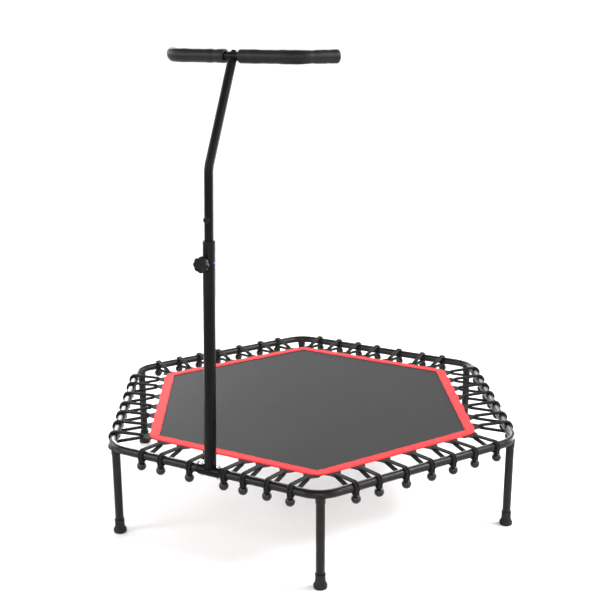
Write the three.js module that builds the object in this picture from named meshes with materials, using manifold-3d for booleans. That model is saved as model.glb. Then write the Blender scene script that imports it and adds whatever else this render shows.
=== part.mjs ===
// Hexagonal fitness trampoline with a T-handle. Millimetres, +Z up.
// The origin is on the floor under the middle of the mat, and the handle side faces -Y.
import * as THREE from 'three';
import { mergeVertices } from 'three/addons/utils/BufferGeometryUtils.js';
import Module from 'manifold-3d';

const wasm = await Module();
wasm.setup();

// Driving dimensions
const cornerReach = 615; // centre to the point where two sides' centrelines meet
const railRadius = 11; // 22 mm tube
const railWall = 1.5;
const railBend = 80; // centreline radius of each corner bend
const railHeight = 246.5; // rail centreline above the floor
const splitAlong = 120; // where the two frame halves meet, from the middle of a side
const spigotLength = 45;
const touchGap = 0.3; // between faces that touch on the real object

const matReach = 510; // centre to the outer corner of the red border
const matRise = 1.2; // mat mid-plane above the rail centreline
const matThick = 2;
const borderBand = 29; // visible width of the border
const borderCloth = 1.2;

const cordThick = 5;
const cordPair = 11; // two strands side by side
const ballRadius = 11.8;
const ballOut = 8; // ball centre outside the rail centreline
const ballDrop = 27; // and below it
const plainStations = [-212, -143, -60, 20, 90, 162, 236]; // bungees along a side, from its middle
const clampStations = [-205, -145, -58, 44, 99, 166, 230]; // with room for the handle clamp

const handleLean = 2.2 * Math.PI / 180; // lower post leans towards the mat
const lowerRadius = 15;
const lowerBore = 13.5;
const lowerTop = 577; // above the rail centreline, along the post
const upperRadius = 11;
const upperBore = 9.5;
const upperFoot = 386; // low end of the sliding post, at the setting shown
const upperBendAt = 751;
const upperBendAngle = 23.2 * Math.PI / 180;
const upperBend = 60;
const upperReach = 273; // bend to bar centre
const holePitch = 41;
const holeSteps = [-3, -2, -1, 0, 1]; // five heights, with the knob at step 0
const stopAt = 629; // the stop that lands on the bushing at the lowest setting
const stopRadius = 8.2;
const knobAt = 527.5; // knob axis above the rail centreline, along the post
const knobRadius = 19.8;
const knobThick = 12.5;
const knobBackOff = 5; // the knob's travel, from clear of the sliding post to home in a hole

const barRadius = 11;
const barBore = 9.5;
const barStraight = 145; // half of the straight middle
const barBend = 50;
const barTurn = 57 * Math.PI / 180; // each end turns towards the person on the mat
const barEnd = 78;
const gripRadius = 16.2;
const gripBore = 11.4;
const gripStart = 20;

const collarRadius = 12.3;
const collarDrop = 22; // underside of a leg collar below the rail centreline
const legPinRadius = 8.8;
const legPinLength = 30;
const legRadius = 11;
const legBore = 9.5;
const footSole = 6;
const footHeight = 38;

const clampLength = 72;
const clampOuter = 13.8;
const clampInner = 11.5;
const clampBoltAt = 25;

const apothem = cornerReach * Math.cos(Math.PI / 6);
const cornerPull = railBend / Math.cos(Math.PI / 6) - railBend; // bend apex inside the sharp corner

// Materials
const paint = (color, roughness, metalness = 0) =>
  new THREE.MeshStandardMaterial({ color, roughness, metalness });
const powderCoat = paint(0x2b2929, 0.42, 0.3);
const rubber = paint(0x1c1c1c, 0.8);
const foam = paint(0x262626, 0.9);
const plastic = paint(0x151515, 0.45);
const zinc = paint(0xd8dcdc, 0.3, 0.9);
const redCloth = paint(0xf2484d, 0.75);
const meshCloth = paint(0x4a4a4a, 0.85);
const cordBlack = paint(0x141414, 0.8);

const model = new THREE.Group();

// ---- solids ----

// a closed geometry as a manifold solid, with its faces pointing out
function solid(geometry) {
  const plain = geometry.clone();
  plain.deleteAttribute('normal');
  plain.deleteAttribute('uv');
  const merged = mergeVertices(plain, 1e-4);
  const position = merged.attributes.position.array;
  const index = Array.from(merged.index.array);
  if (signedVolume(position, index) < 0) {
    for (let i = 0; i < index.length; i += 3) {
      [index[i], index[i + 1]] = [index[i + 1], index[i]];
    }
  }
  return new wasm.Manifold(new wasm.Mesh({
    numProp: 3,
    vertProperties: Float32Array.from(position),
    triVerts: Uint32Array.from(index),
  }));
}

function signedVolume(position, index) {
  let sum = 0;
  const a = new THREE.Vector3();
  const b = new THREE.Vector3();
  const c = new THREE.Vector3();
  for (let i = 0; i < index.length; i += 3) {
    a.fromArray(position, 3 * index[i]);
    b.fromArray(position, 3 * index[i + 1]);
    c.fromArray(position, 3 * index[i + 2]);
    sum += a.dot(b.cross(c));
  }
  return sum / 6;
}

function geometryOf(manifold) {
  const mesh = manifold.getMesh();
  const geometry = new THREE.BufferGeometry();
  geometry.setAttribute('position', new THREE.BufferAttribute(mesh.vertProperties, 3));
  geometry.setIndex(new THREE.BufferAttribute(mesh.triVerts, 1));
  geometry.computeVertexNormals();
  return geometry;
}

const joinAll = (solids) => solids.reduce((whole, piece) => whole.add(piece));
const cutAll = (whole, cutters) => cutters.reduce((left, cutter) => left.subtract(cutter), whole);

function addMesh(parent, name, geometry, material) {
  const mesh = new THREE.Mesh(geometry, material);
  mesh.name = name;
  parent.add(mesh);
  return mesh;
}

// an upright cylinder from z = low to z = high
function upright(radius, low, high, sides) {
  return new THREE.CylinderGeometry(radius, radius, high - low, sides)
    .rotateX(Math.PI / 2).translate(0, 0, (low + high) / 2);
}

// a cylinder along Y from y = low to y = high
function acrossY(radius, low, high, sides) {
  return new THREE.CylinderGeometry(radius, radius, high - low, sides)
    .translate(0, (low + high) / 2, 0);
}

function lathe(profile, sides) {
  const points = profile.map(([r, z]) => new THREE.Vector2(r, z));
  return new THREE.LatheGeometry(points, sides).rotateX(Math.PI / 2);
}

// a polyline whose rings stand square to the bisector at each point
class MitredPath extends THREE.Curve {
  constructor(points) {
    super();
    this.points = points;
  }
  getPoint(t, target = new THREE.Vector3()) {
    const last = this.points.length - 1;
    const at = Math.min(Math.round(t * last), last);
    return target.copy(this.points[at]);
  }
  getPointAt(u, target) {
    return this.getPoint(u, target);
  }
  getTangentAt(u, target = new THREE.Vector3()) {
    const last = this.points.length - 1;
    const at = Math.min(Math.round(u * last), last);
    const before = this.points[Math.max(at - 1, 0)];
    const after = this.points[Math.min(at + 1, last)];
    const here = this.points[at];
    target.set(0, 0, 0);
    if (at > 0) target.add(here.clone().sub(before).normalize());
    if (at < last) target.add(after.clone().sub(here).normalize());
    return target.normalize();
  }
}

// a round bar along the points
function barAlong(points, radius, sides) {
  const section = new THREE.Shape();
  for (let i = 0; i < sides; i += 1) {
    const a = 2 * Math.PI * (i + 0.5) / sides;
    const step = i === 0 ? 'moveTo' : 'lineTo';
    section[step](radius * Math.cos(a), radius * Math.sin(a));
  }
  section.closePath();
  return new THREE.ExtrudeGeometry(section, {
    steps: points.length - 1,
    bevelEnabled: false,
    extrudePath: new MitredPath(points),
  });
}

// points of an arc from a, turning towards b, of the given radius, at a corner point
function roundCorner(before, corner, after, radius, steps) {
  const inward = before.clone().sub(corner).normalize();
  const outward = after.clone().sub(corner).normalize();
  const turn = Math.PI - inward.angleTo(outward);
  const tangent = radius * Math.tan(turn / 2);
  const middle = inward.clone().add(outward).normalize();
  const centre = corner.clone().addScaledVector(middle, radius / Math.cos(turn / 2));
  const points = [];
  for (let i = 0; i <= steps; i += 1) {
    const a = turn * (i / steps - 0.5);
    const start = corner.clone().addScaledVector(inward, tangent).sub(centre).normalize();
    const axis = start.clone().cross(corner.clone().sub(centre)).normalize();
    const swing = start.applyAxisAngle(axis, a + turn / 2);
    points.push(centre.clone().addScaledVector(swing, radius));
  }
  return points;
}

// a unit direction in the floor plane
const heading = (degrees) => new THREE.Vector3(
  Math.cos(THREE.MathUtils.degToRad(degrees)), Math.sin(THREE.MathUtils.degToRad(degrees)), 0);

// the point s along the side that faces the given way, at distance out from the centre
function onSide(facing, s, out, z = 0) {
  return heading(facing).multiplyScalar(out)
    .addScaledVector(heading(facing + 90), s)
    .add(new THREE.Vector3(0, 0, z));
}

// ---- frame ----

const bendSteps = 4;
const tubeSides = 10;

// half of the hexagon, from the middle region of one side round three corners
function halfPath(startAlong, endAlong) {
  const corners = [240, 300, 360].map((angle) => heading(angle).multiplyScalar(cornerReach));
  const start = onSide(210, startAlong, apothem);
  const end = onSide(30, endAlong, apothem);
  const stops = [start, ...corners, end];
  const points = [start];
  corners.forEach((corner, i) => {
    points.push(...roundCorner(stops[i], corner, stops[i + 2], railBend, bendSteps));
  });
  points.push(end);
  return points;
}

function frameHalf(clampHoles) {
  const end = onSide(30, splitAlong, apothem);
  const along = heading(120);
  const ahead = (distance) => end.clone().addScaledVector(along, distance);
  const body = [
    solid(barAlong(halfPath(splitAlong + touchGap, splitAlong), railRadius, tubeSides)),
    solid(barAlong([ahead(-12), ahead(spigotLength)], 8.8, tubeSides)),
  ];
  for (const angle of [240, 300, 360]) {
    const at = heading(angle).multiplyScalar(cornerReach - cornerPull);
    const collar = upright(collarRadius, -collarDrop, -2, tubeSides).translate(at.x, at.y, 0);
    const pin = upright(legPinRadius, -collarDrop - legPinLength, -2, tubeSides)
      .translate(at.x, at.y, 0);
    body.push(solid(collar), solid(pin));
  }
  const bores = [
    solid(barAlong(halfPath(splitAlong - 5, splitAlong - 14), railRadius - railWall, tubeSides)),
    solid(barAlong([ahead(-20), ahead(spigotLength + 5)], 7.3, tubeSides)),
    screwHole(210, splitAlong + spigotLength / 2),
    screwHole(30, splitAlong + spigotLength / 2),
  ];
  if (clampHoles) {
    for (const x of [-clampBoltAt, clampBoltAt]) {
      bores.push(solid(upright(3.5, -20, 20, 10).rotateX(-handleLean)
        .translate(x, -apothem, 0)));
    }
  }
  return geometryOf(cutAll(joinAll(body), bores));
}

// a hole up into the underside of the rail
function screwHole(facing, s) {
  const at = onSide(facing, s, apothem);
  return solid(upright(3.1, -14, -2, 8).translate(at.x, at.y, 0));
}

function buildFrame() {
  const group = new THREE.Group();
  group.position.z = railHeight;
  addMesh(group, 'frame_half_handle_side', frameHalf(true), powderCoat);
  const far = addMesh(group, 'frame_half_far_side', frameHalf(false), powderCoat);
  far.rotation.z = Math.PI;
  const screw = lathe([
    [0, -15.5], [2.6, -15.2], [4.8, -13.6], [5, -12.3], [5, -11.5], [2.7, -11.5], [2.7, -3], [0, -3],
  ], 10);
  for (const [name, facing] of [['joint_screw_left', 210], ['joint_screw_right', 30]]) {
    const at = onSide(facing, splitAlong + spigotLength / 2, apothem);
    addMesh(group, name, screw.clone(), zinc).position.copy(at);
  }
  model.add(group);
}

function buildLegs() {
  const top = railHeight - collarDrop - touchGap;
  const leg = lathe([
    [legBore, footSole + touchGap], [legRadius, footSole + touchGap],
    [legRadius, top], [legBore, top], [legBore, footSole + touchGap],
  ], 12);
  const cup = legRadius + 0.35;
  const foot = lathe([
    [0, 0], [15, 0], [17.2, 2.5], [17.2, 9], [13, 17], [12.6, footHeight - 3],
    [13.1, footHeight - 1], [12.6, footHeight], [cup, footHeight], [cup, footSole], [0, footSole],
  ], 12);
  const names = ['handle_left', 'handle_right', 'right', 'far_right', 'far_left', 'left'];
  names.forEach((name, i) => {
    const at = heading(240 + 60 * i).multiplyScalar(cornerReach - cornerPull);
    addMesh(model, `leg_${name}`, leg.clone(), powderCoat).position.copy(at);
    addMesh(model, `foot_${name}`, foot.clone(), rubber).position.copy(at);
  });
}

// ---- mat ----

// a hexagonal plate with rounded corners, from z = low to z = high
function hexPlate(reach, low, high, round) {
  const corners = [0, 60, 120, 180, 240, 300].map((a) => heading(a).multiplyScalar(reach));
  const outline = corners.flatMap((corner, i) => roundCorner(
    corners[(i + 5) % 6], corner, corners[(i + 1) % 6], round, 3));
  const shape = new THREE.Shape(outline.map((p) => new THREE.Vector2(p.x, p.y)));
  return new THREE.ExtrudeGeometry(shape, { depth: high - low, bevelEnabled: false })
    .translate(0, 0, low);
}

function buildMat() {
  const group = new THREE.Group();
  group.position.z = railHeight + matRise;
  const half = matThick / 2;
  const bandReach = borderBand / Math.cos(Math.PI / 6);
  const matEdge = matReach - 4;
  const slot = half + touchGap;
  addMesh(group, 'mat', hexPlate(matEdge, -half, half, 22), meshCloth);
  const fold = slot + borderCloth;
  const border = cutAll(solid(hexPlate(matReach, -fold, fold, 24)), [
    solid(hexPlate(matReach - bandReach, -fold - 1, fold + 1, 6)),
    solid(hexPlate(matEdge + 0.6, -slot, slot, 22)),
  ]);
  addMesh(group, 'mat_border', geometryOf(border), redCloth);
  model.add(group);
}

// ---- bungees ----

const edgeOut = matReach * Math.cos(Math.PI / 6); // border edge from the centre, at a side's middle
const tabReach = 24;
const tabRoot = 40;
const tabTip = 15;
const tabThick = 2.4;

const loopSteps = 4;
const loopSpan = 110 * Math.PI / 180; // the cords touch the rail this far either side of its outside

// the loop of one bungee in the plane across the rail: out = distance from the centre, up = z;
// dip is how far the strands stand off the rail to reach the ball
function loopOutline(radius, tip, dip = 0) {
  const outline = [];
  const steps = loopSteps;
  const span = loopSpan;
  for (let i = 0; i <= steps; i += 1) {
    const a = -span + 2 * span * i / steps;
    const r = i === 1 ? radius + dip : radius;
    outline.push(new THREE.Vector2(apothem + r * Math.cos(a), r * Math.sin(a)));
  }
  outline.push(new THREE.Vector2(edgeOut + tip, matRise + 1.2));
  outline.push(new THREE.Vector2(edgeOut + tip, matRise - 1.2));
  return outline;
}

// one bungee standing at s = 0 on the side that faces +X
function bungee() {
  const inner = (railRadius + touchGap) / Math.cos(loopSpan / loopSteps);
  const shape = new THREE.Shape(loopOutline(inner + cordThick, tabReach - 6, 4));
  shape.holes.push(new THREE.Path(loopOutline(inner, tabReach + 14)));
  const loop = new THREE.ExtrudeGeometry(shape, { depth: cordPair, bevelEnabled: false })
    .rotateX(Math.PI / 2).translate(0, cordPair / 2, 0);
  const tab = new THREE.Shape([
    [edgeOut + 2, -tabRoot / 2], [edgeOut + tabReach, -tabTip / 2],
    [edgeOut + tabReach, tabTip / 2], [edgeOut + 2, tabRoot / 2],
  ].map(([x, y]) => new THREE.Vector2(x, y)));
  const plate = new THREE.ExtrudeGeometry(tab, { depth: tabThick, bevelEnabled: false })
    .translate(0, 0, matRise - tabThick / 2);
  const ball = new THREE.IcosahedronGeometry(ballRadius)
    .translate(apothem + ballOut, 0, -ballDrop);
  return joinAll([solid(loop), solid(plate), solid(ball)]);
}

function buildBungees() {
  const group = new THREE.Group();
  group.position.z = railHeight;
  const one = bungee();
  const sides = [
    ['handle', -90], ['front_right', -30], ['right', 30], ['far', 90], ['far_left', 150], ['left', 210],
  ];
  for (const [name, facing] of sides) {
    const stations = facing === -90 ? clampStations : plainStations;
    const strip = new THREE.BoxGeometry(4, 500, tabThick)
      .translate(edgeOut + touchGap + 2, 0, matRise);
    const row = joinAll([solid(strip), ...stations.map((s) => one.translate([0, s, 0]))]);
    const mesh = addMesh(group, `bungee_row_${name}`, geometryOf(row), cordBlack);
    mesh.rotation.z = THREE.MathUtils.degToRad(facing);
  }
  model.add(group);
}

// ---- handle ----

// half a clamp ring along X; upper is true for the saddle
function clampRing(upper) {
  const ring = cutAll(solid(acrossX(clampOuter, clampLength / 2)), [
    solid(acrossX(clampInner, clampLength)),
  ]);
  const keep = new THREE.BoxGeometry(clampLength * 2, 60, 30)
    .translate(0, 0, upper ? 15 + 0.6 : -15 - 0.6);
  return ring.intersect(solid(keep));
}

function acrossX(radius, halfLength) {
  return new THREE.CylinderGeometry(radius, radius, 2 * halfLength, 16)
    .rotateZ(Math.PI / 2);
}

function buildClamp(handle) {
  const boltHoles = [-clampBoltAt, clampBoltAt].map((x) =>
    solid(upright(3.5, -20, 20, 10).translate(x, 0, 0)));
  const bevels = [-1, 1].map((side) => solid(new THREE.BoxGeometry(20, 60, 60)
    .rotateY(side * 0.62).translate(side * (clampLength / 2 + 3.6), 0, -12)));
  const shell = cutAll(clampRing(false), [...boltHoles, ...bevels]);
  addMesh(handle, 'clamp_shell', geometryOf(shell), powderCoat);

  const crown = clampOuter + touchGap;
  const bolt = lathe([
    [0, -crown - 4], [3.5, -crown - 3.4], [5.8, -crown - 1.4], [6.2, -crown], [3, -crown],
    [3, crown + 10], [0, crown + 10],
  ], 10);
  const washer = lathe([
    [3.4, crown], [6.4, crown], [6.4, crown + 1.5], [3.4, crown + 1.5], [3.4, crown],
  ], 12);
  const nutLow = crown + 1.5 + touchGap;
  const nut = geometryOf(solid(upright(5.7, nutLow, nutLow + 5.5, 6))
    .subtract(solid(upright(3.5, nutLow - 1, nutLow + 7, 10))));
  for (const [name, x] of [['left', -clampBoltAt], ['right', clampBoltAt]]) {
    addMesh(handle, `clamp_bolt_${name}`, bolt.clone(), zinc).position.x = x;
    addMesh(handle, `clamp_washer_${name}`, washer.clone(), zinc).position.x = x;
    addMesh(handle, `clamp_nut_${name}`, nut.clone(), zinc).position.x = x;
  }
  return boltHoles;
}

const bossLength = 6;
const bossFace = -lowerRadius - bossLength;
const nubHeight = lowerTop - 9;
const nubTurn = -23 * Math.PI / 180; // the bushing's snap nub, round from the knob side

function buildLowerPost(handle, boltHoles) {
  const foot = clampInner + 1;
  const body = [
    solid(upright(lowerRadius, foot, lowerTop, 16)),
    clampRing(true),
    solid(acrossY(8, bossFace, -lowerRadius + 2, 12).translate(0, 0, knobAt)),
  ];
  const cuts = [
    solid(upright(lowerBore, clampOuter + 1, lowerTop + 5, 16)),
    solid(acrossY(4.7, bossFace - 5, 0, 10).translate(0, 0, knobAt)),
    solid(acrossY(3, -20, 0, 8).rotateZ(nubTurn).translate(0, 0, nubHeight)),
    ...boltHoles,
  ];
  addMesh(handle, 'lower_post', geometryOf(cutAll(joinAll(body), cuts)), powderCoat);

  const sleeve = lathe([
    [11.5, lowerTop - 36], [13.1, lowerTop - 36], [13.1, lowerTop + touchGap],
    [15.2, lowerTop + touchGap], [15.2, lowerTop + 2.6], [11.5, lowerTop + 2.6],
    [11.5, lowerTop - 36],
  ], 16);
  const nub = acrossY(2.2, -15.6, -12.4, 8).rotateZ(nubTurn).translate(0, 0, nubHeight);
  addMesh(handle, 'post_bushing', geometryOf(joinAll([solid(sleeve), solid(nub)])), plastic);
}

function buildKnob(handle) {
  const group = new THREE.Group();
  group.position.z = knobAt;
  const washerFace = bossFace - knobBackOff - touchGap;
  const knobFace = washerFace - 1.5 - touchGap;
  const washer = cutAll(solid(acrossY(9, washerFace - 1.5, washerFace, 14)), [
    solid(acrossY(4.5, washerFace - 5, washerFace + 5, 10)),
  ]);
  addMesh(group, 'knob_washer', geometryOf(washer), zinc);

  const lobes = 8;
  const rim = new THREE.Shape();
  for (let i = 0; i < lobes * 4; i += 1) {
    const a = 2 * Math.PI * i / (lobes * 4);
    const r = knobRadius - 1 + Math.cos(lobes * a);
    rim[i === 0 ? 'moveTo' : 'lineTo'](r * Math.cos(a), r * Math.sin(a));
  }
  rim.closePath();
  const head = new THREE.ExtrudeGeometry(rim, { depth: knobThick, bevelEnabled: false })
    .rotateX(Math.PI / 2).translate(0, knobFace, 0);
  const tip = -upperRadius - 0.4;
  const stud = acrossY(4, knobFace - 2, tip, 10);
  addMesh(group, 'height_knob', geometryOf(joinAll([solid(head), solid(stud)])), plastic);
  handle.add(group);
}

// centreline of the sliding post, in the plane x = 0
function upperPath(extendLow, extendHigh) {
  const lean = new THREE.Vector3(0, Math.sin(upperBendAngle), Math.cos(upperBendAngle));
  const low = new THREE.Vector3(0, 0, upperFoot - extendLow);
  const corner = new THREE.Vector3(0, 0, upperBendAt);
  const high = corner.clone().addScaledVector(lean, upperReach + extendHigh);
  return [low, ...roundCorner(low, corner, high, upperBend, 4), high];
}

function buildUpperPost(handle) {
  const path = upperPath(0, 0);
  const top = path[path.length - 1];
  const barClear = acrossX(barRadius + 0.4, 40).translate(top.x, top.y, top.z);
  const cuts = [
    solid(barAlong(upperPath(5, 5), upperBore, 12)),
    solid(barClear),
    ...[...holeSteps.map((n) => knobAt + n * holePitch), stopAt]
      .map((z) => solid(acrossY(4.8, -20, 0, 8).translate(0, 0, z))),
  ];
  const post = cutAll(solid(barAlong(path, upperRadius, 14)), cuts);
  // the bar's round leaves a second piece beyond it
  const parts = post.decompose();
  const main = parts.reduce((big, piece) => (piece.volume() > big.volume() ? piece : big));
  addMesh(handle, 'upper_post', geometryOf(main), powderCoat);

  const face = -upperRadius - touchGap;
  const stop = joinAll([
    solid(acrossY(stopRadius, face - 2.7, face, 14)),
    solid(acrossY(4.4, face - 1, -5, 10)),
  ]);
  addMesh(handle, 'post_stop', geometryOf(stop), plastic).position.z = stopAt;
  return top;
}

// centreline of the bar, level, with both ends turned to +Y
function barPath(cutBack = 0) {
  const reach = barStraight + barBend * Math.tan(barTurn / 2);
  const side = (sign) => {
    const corner = new THREE.Vector3(sign * reach, 0, 0);
    const turn = new THREE.Vector3(sign * Math.cos(barTurn), Math.sin(barTurn), 0);
    const length = barBend * Math.tan(barTurn / 2) + barEnd - cutBack;
    const tip = corner.clone().addScaledVector(turn, length);
    const inner = new THREE.Vector3(sign * gripStart, 0, 0);
    return [inner, ...roundCorner(inner, corner, tip, barBend, 4), tip];
  };
  return { left: side(-1), right: side(1) };
}

function buildBar(handle, top) {
  const group = new THREE.Group();
  group.position.copy(top);
  group.rotation.x = handleLean;
  const { left, right } = barPath();
  const whole = [...left.slice(1).reverse(), ...right.slice(1)];
  const boltLean = upperBendAngle + handleLean;
  const boltHole = upright(3.5, -20, 20, 10).rotateX(-boltLean);
  const longer = barPath(-5);
  const boreLine = [...longer.left.slice(1).reverse(), ...longer.right.slice(1)];
  const bar = cutAll(solid(barAlong(whole, barRadius, 12)), [
    solid(barAlong(boreLine, barBore, 12)), solid(boltHole),
  ]);
  addMesh(group, 'handlebar', geometryOf(bar), powderCoat);

  for (const [name, line] of [['left', left], ['right', right]]) {
    const tip = line[line.length - 1];
    const back = line[line.length - 2].clone().sub(tip).normalize();
    const inside = [line[0].clone().addScaledVector(line[1].clone().sub(line[0]).normalize(), -5),
      ...line.slice(1, -1), tip.clone().addScaledVector(back, -5)];
    const grip = solid(barAlong(line, gripRadius, 12))
      .subtract(solid(barAlong(inside, gripBore + 0.4, 12)));
    addMesh(group, `grip_${name}`, geometryOf(grip), foam);

    const at = (distance) => tip.clone().addScaledVector(back, -distance);
    const plug = solid(barAlong([at(touchGap), at(2.3)], 10.8, 14))
      .add(solid(barAlong([at(-16), at(1)], 8.8, 14)));
    addMesh(group, `end_plug_${name}`, geometryOf(plug), plastic);
  }

  const seat = barRadius + touchGap;
  const bolt = addMesh(group, 'bar_bolt', lathe([
    [0, -seat - 24], [3, -seat - 24], [3, seat],
    [7.4, seat], [6.6, seat + 1.8], [3.8, seat + 3], [0, seat + 3.4],
  ], 12), plastic);
  bolt.rotation.x = -boltLean;
  const insert = addMesh(group, 'stem_insert', lathe([
    [3.4, -seat - 26], [8.9, -seat - 26], [8.9, -seat - 6], [3.4, -seat - 6], [3.4, -seat - 26],
  ], 12), zinc);
  insert.rotation.x = -boltLean;
  handle.add(group);
}

function buildHandle() {
  const handle = new THREE.Group();
  handle.position.set(0, -apothem, railHeight);
  handle.rotation.x = -handleLean;
  const boltHoles = buildClamp(handle);
  buildLowerPost(handle, boltHoles);
  buildKnob(handle);
  const top = buildUpperPost(handle);
  buildBar(handle, top);
  model.add(handle);
}

buildFrame();
buildLegs();
buildMat();
buildBungees();
buildHandle();

export default model;
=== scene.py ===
import math
import random

import bpy
from mathutils import Matrix, Vector


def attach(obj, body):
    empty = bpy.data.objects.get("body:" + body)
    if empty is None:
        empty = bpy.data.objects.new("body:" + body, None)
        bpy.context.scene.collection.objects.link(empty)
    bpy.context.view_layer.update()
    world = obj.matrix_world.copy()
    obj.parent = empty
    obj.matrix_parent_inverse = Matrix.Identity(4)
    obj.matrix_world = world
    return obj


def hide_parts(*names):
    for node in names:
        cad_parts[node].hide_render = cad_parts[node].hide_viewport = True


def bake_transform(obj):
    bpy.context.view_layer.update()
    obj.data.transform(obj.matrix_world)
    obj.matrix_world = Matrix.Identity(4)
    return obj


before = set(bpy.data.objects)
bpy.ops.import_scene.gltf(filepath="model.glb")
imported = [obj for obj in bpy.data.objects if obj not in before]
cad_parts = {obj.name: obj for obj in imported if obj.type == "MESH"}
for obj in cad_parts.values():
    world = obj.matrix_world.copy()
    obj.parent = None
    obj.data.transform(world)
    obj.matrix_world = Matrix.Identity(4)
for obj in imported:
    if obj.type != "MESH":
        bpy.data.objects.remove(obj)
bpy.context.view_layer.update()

# The hexagonal ring that everything hangs on, in metres. Its handle side faces -Y.
ring = {
    "cornerReach": 0.615,  # centre to the point where two sides would meet
    "railHeight": 0.2465,
    "railRadius": 0.011,
    "railWall": 0.0015,
    "bendRadius": 0.080,
    "splitAlong": 0.120,  # where the two halves meet, from the middle of a side
    "splitGap": 0.0003,
    "screwAlong": 0.0225,  # the joint screws, from where the halves meet
}
apothem = ring["cornerReach"] * math.cos(math.pi / 6)
sideFacings = {"handle": -90, "front_right": -30, "right": 30, "far": 90, "far_left": 150, "left": 210}

# The post leans towards the mat, and everything on it is drawn upright and then leaned.
post = {"lean": math.radians(2.2), "lowerRadius": 0.015, "upperRadius": 0.011, "knobAt": 0.5275}
postPlace = Matrix.Translation((0, -apothem, ring["railHeight"])) @ Matrix.Rotation(-post["lean"], 4, "X")


# turns what is drawn along +Z to stick out of the post's front at a height
def outOfPost(height):
    return Matrix.Translation((0, 0, height)) @ Matrix.Rotation(math.pi / 2, 4, "X")


def deselectAll():
    if bpy.context.object and bpy.context.object.mode == "EDIT":
        bpy.ops.object.mode_set(mode="OBJECT")
    bpy.ops.object.select_all(action="DESELECT")


def makeActive(piece):
    deselectAll()
    piece.select_set(True)
    bpy.context.view_layer.objects.active = piece


def editAll(piece, kind="VERT"):
    makeActive(piece)
    bpy.ops.object.mode_set(mode="EDIT")
    bpy.ops.mesh.select_mode(type=kind)
    bpy.ops.mesh.select_all(action="SELECT")


# selects the faces whose centre and normal pass the test, and stays in edit mode
def editFaces(piece, test):
    editAll(piece, "FACE")
    bpy.ops.mesh.select_all(action="DESELECT")
    bpy.ops.object.mode_set(mode="OBJECT")
    for face in piece.data.polygons:
        face.select = test(face.center, face.normal)
    bpy.ops.object.mode_set(mode="EDIT")


# selects the points that pass the test, and stays in edit mode
def editPoints(piece, test):
    editAll(piece)
    bpy.ops.mesh.select_all(action="DESELECT")
    bpy.ops.object.mode_set(mode="OBJECT")
    for point in piece.data.vertices:
        point.select = test(point.co)
    bpy.ops.object.mode_set(mode="EDIT")


def leaveEdit():
    bpy.ops.object.mode_set(mode="OBJECT")


def outward(piece):
    editAll(piece)
    bpy.ops.mesh.remove_doubles(threshold=1e-6)
    bpy.ops.mesh.normals_make_consistent(inside=False)
    leaveEdit()


def applyModifier(piece, kind, **settings):
    makeActive(piece)
    modifier = piece.modifiers.new(kind.title(), kind)
    for key, value in settings.items():
        setattr(modifier, key, value)
    bpy.ops.object.modifier_apply(modifier=modifier.name)


def roundEdges(piece, width, segments=2, angle=35):
    applyModifier(piece, "BEVEL", width=width, segments=segments, limit_method="ANGLE",
                  angle_limit=math.radians(angle), use_clamp_overlap=True)


def smooth(piece, angle=40):
    makeActive(piece)
    bpy.ops.object.shade_smooth_by_angle(angle=math.radians(angle))


# moves the mesh itself, so that the object stays at the origin
def place(piece, matrix):
    piece.data.transform(matrix)
    piece.data.update()
    return piece


def copyOf(piece, name, matrix=Matrix()):
    twin = piece.copy()
    twin.data = piece.data.copy()
    twin.name = name
    bpy.context.scene.collection.objects.link(twin)
    return place(twin, matrix)


def joined(name, pieces):
    deselectAll()
    for piece in pieces:
        piece.select_set(True)
    bpy.context.view_layer.objects.active = pieces[0]
    if len(pieces) > 1:
        bpy.ops.object.join()
    whole = bpy.context.object
    whole.name = name
    return whole


# a round solid grown ring by ring along +Z; the profile is (radius, height) from the low end up
def turned(name, profile, sides=40, fill="NGON"):
    deselectAll()
    radius, height = profile[0]
    bpy.ops.mesh.primitive_circle_add(vertices=sides, radius=radius, fill_type=fill, location=(0, 0, height))
    piece = bpy.context.object
    piece.name = name
    bpy.ops.object.transform_apply(location=True, rotation=True, scale=True)
    editAll(piece)
    for nextRadius, nextHeight in profile[1:]:
        rise = (0, 0, nextHeight - height)
        bpy.ops.mesh.extrude_region_move(TRANSFORM_OT_translate={"value": rise})
        grow = nextRadius / radius
        bpy.ops.transform.resize(value=(grow, grow, 1), center_override=(0, 0, nextHeight))
        radius, height = nextRadius, nextHeight
    leaveEdit()
    outward(piece)
    return piece


# a round sleeve: the profile goes up the outside and down the inside, and closes on itself
def sleeve(name, profile, sides=40):
    return turned(name, profile + profile[:1], sides, "NOTHING")


# a tube drawn from start along heading; a route step is a length to go, or (towards, radius, angle) to turn
def tube(name, start, heading, route, radius, wall=0.0, sides=40, turnSteps=14):
    deselectAll()
    at, ahead = Vector(start), Vector(heading).normalized()
    facing = ahead.to_track_quat("Z", "Y").to_euler()
    bpy.ops.mesh.primitive_circle_add(vertices=sides, radius=radius, location=at, rotation=facing)
    piece = bpy.context.object
    piece.name = name
    bpy.ops.object.transform_apply(location=True, rotation=True, scale=True)
    editAll(piece)
    for step in route:
        if isinstance(step, tuple):
            towards, bendRadius, angle = step
            centre = at + Vector(towards).normalized() * bendRadius
            axis = ahead.cross(Vector(towards)).normalized()
            # without a window spin goes round the other way
            bpy.ops.mesh.spin(steps=turnSteps, angle=-angle, center=centre, axis=axis)
            swing = Matrix.Rotation(angle, 3, axis)
            at = centre + swing @ (at - centre)
            ahead = swing @ ahead
        else:
            bpy.ops.mesh.extrude_region_move(TRANSFORM_OT_translate={"value": ahead * step})
            at = at + ahead * step
    leaveEdit()
    outward(piece)
    if wall:
        applyModifier(piece, "SOLIDIFY", thickness=wall, offset=-1)
    return piece


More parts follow.
